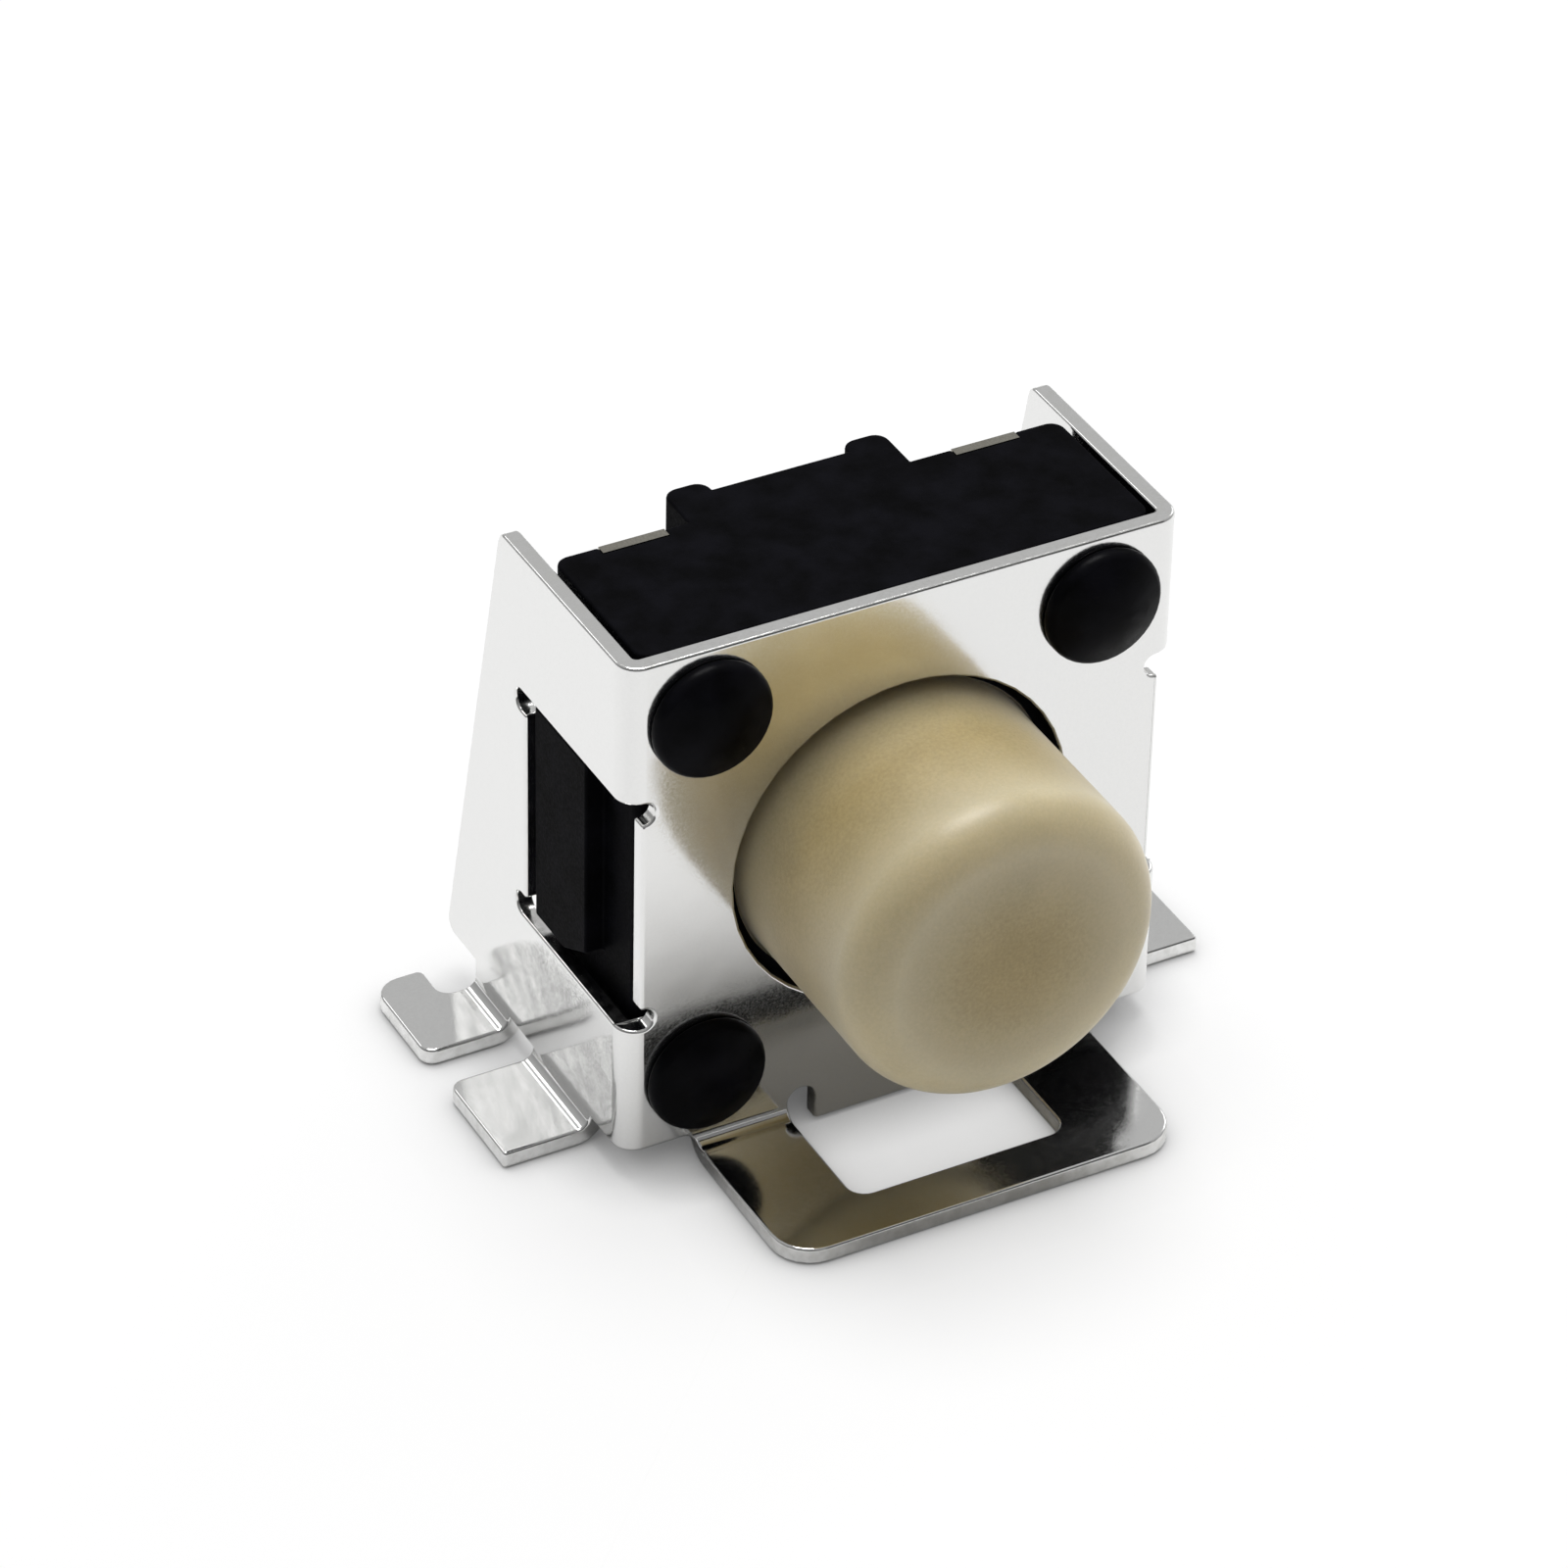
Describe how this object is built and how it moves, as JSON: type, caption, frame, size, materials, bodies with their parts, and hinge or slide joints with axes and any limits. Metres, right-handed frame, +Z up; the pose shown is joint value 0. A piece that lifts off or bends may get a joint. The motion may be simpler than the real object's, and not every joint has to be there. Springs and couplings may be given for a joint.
{
  "type": "tactile push button switch",
  "caption": "Right-angle surface-mount tactile push button switch: round button in a riveted moulded base, held by a folded sheet-metal bracket with solder feet.",
  "frame": {"origin": "on the board plane, under the middle of the overall width and depth", "axes": "+Z up from the board, the button faces -Y, +X to the right seen from the button's side turned round, so that X, Y and Z are right-handed"},
  "size_m": [0.0084, 0.0066, 0.0065],
  "materials": {
    "tinned_sheet": "bright tin plated sheet",
    "black_moulding": "matte moulded",
    "ivory_moulding": "matte moulded",
    "spring_steel": "stainless spring sheet",
    "plated_strip": "silver plated strip"
  },
  "bodies": {
    "base": {"bracket": "tinned_sheet", "housing": "black_moulding", "contact_dome": "spring_steel", "terminal_left": "plated_strip", "terminal_right": "plated_strip"},
    "plunger": {"button": "ivory_moulding"}
  },
  "joints": [
    {"name": "button_press", "type": "slide", "parent": "base", "child": "plunger", "axis": [0, 1, 0], "range_m": [0, 0.00025], "stiffness_N_per_m": 10000, "deforming": ["contact_dome"]}
  ]
}
